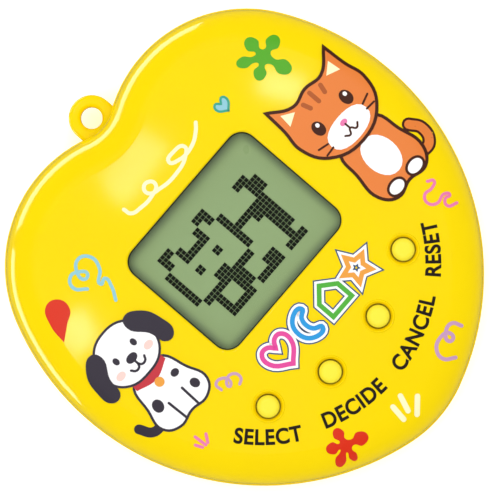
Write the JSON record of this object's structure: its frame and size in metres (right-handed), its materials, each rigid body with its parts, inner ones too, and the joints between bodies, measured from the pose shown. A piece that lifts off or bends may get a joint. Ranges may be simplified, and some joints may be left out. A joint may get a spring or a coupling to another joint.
{
  "type": "virtual pet keychain",
  "caption": "Heart-shaped handheld electronic pet toy with a pixel screen in a rounded window, press keys on an arc below it, a battery door on the back and a keyring loop at the notch",
  "frame": {"origin": "centre of the outline's bounding box, on the plane that the flat back rests on", "axes": "+Z comes out of the screen, +Y points from the heart's tip to the keyring loop, +X to the right seen from the front"},
  "size_m": [0.06, 0.0624, 0.0157],
  "materials": {
    "case_yellow": "glossy moulded plastic",
    "key_yellow": "glossy moulded plastic, a little lighter than the case",
    "clear_lens": "clear acrylic",
    "display_glass": "clear float glass",
    "polariser": "grey-green polarising film",
    "reflector": "grey-green polariser with a satin reflector",
    "frame_white": "moulded white plastic",
    "conductive_rubber": "striped conductive rubber",
    "silicone": "translucent silicone rubber",
    "carbon": "carbon-loaded rubber",
    "board_green": "solder mask over glass-fibre board",
    "gold_plate": "gold-plated copper",
    "resin_black": "cured black resin",
    "ceramic_tan": "fired ceramic with tinned ends",
    "steel": "nickel-plated steel",
    "brass": "rolled brass",
    "ceramic_white": "silvered piezo ceramic",
    "wire_red": "PVC insulation",
    "wire_black": "PVC insulation"
  },
  "bodies": {
    "case": {"front_case": "case_yellow", "back_case": "case_yellow", "window_lens": "clear_lens", "lcd_front_polariser": "polariser", "lcd_front_glass": "display_glass", "lcd_rear_glass": "display_glass", "lcd_rear_polariser": "reflector", "lcd_frame": "frame_white", "zebra_strip_upper": "conductive_rubber", "zebra_strip_lower": "conductive_rubber", "select_dome": "silicone", "decide_dome": "silicone", "cancel_dome": "silicone", "reset_dome": "silicone", "keypad_mat": "silicone", "circuit_board": "board_green", "key_contacts": "gold_plate", "display_contacts": "gold_plate", "chip_blob": "resin_black", "capacitor_left": "ceramic_tan", "capacitor_right": "ceramic_tan", "resistor": "resin_black", "crystal": "steel", "battery_cell_left": "steel", "battery_cell_right": "steel", "battery_contact_left": "steel", "battery_contact_right": "steel", "battery_wire_black": "wire_black", "battery_wire_red": "wire_red", "buzzer_wire_black": "wire_black", "buzzer_wire_red": "wire_red", "buzzer_disc": "brass", "buzzer_ceramic": "ceramic_white", "case_screw_left": "steel", "case_screw_right": "steel", "case_screw_tip": "steel", "board_screw_upper_left": "steel", "board_screw_upper_right": "steel", "board_screw_lower_left": "steel", "board_screw_lower_right": "steel"},
    "select_key": {"select_button": "key_yellow", "select_pill": "carbon"},
    "decide_key": {"decide_button": "key_yellow", "decide_pill": "carbon"},
    "cancel_key": {"cancel_button": "key_yellow", "cancel_pill": "carbon"},
    "reset_key": {"reset_button": "key_yellow", "reset_pill": "carbon"},
    "door": {"battery_door": "case_yellow", "door_link": "steel", "door_screw": "steel"}
  },
  "joints": [
    {"name": "select_press", "type": "slide", "parent": "case", "child": "select_key", "axis": [0, 0, -1], "range_m": [0, 0.0006], "stiffness_N_per_m": 1500, "deforming": ["select_dome"]},
    {"name": "decide_press", "type": "slide", "parent": "case", "child": "decide_key", "axis": [0, 0, -1], "range_m": [0, 0.0006], "stiffness_N_per_m": 1500, "deforming": ["decide_dome"]},
    {"name": "cancel_press", "type": "slide", "parent": "case", "child": "cancel_key", "axis": [0, 0, -1], "range_m": [0, 0.0006], "stiffness_N_per_m": 1500, "deforming": ["cancel_dome"]},
    {"name": "reset_press", "type": "slide", "parent": "case", "child": "reset_key", "axis": [0, 0, -1], "range_m": [0, 0.0006], "stiffness_N_per_m": 1500, "deforming": ["reset_dome"]},
    {"name": "door_lift", "type": "slide", "parent": "case", "child": "door", "axis": [0, 0, -1], "range_m": [0, 0.01]}
  ]
}
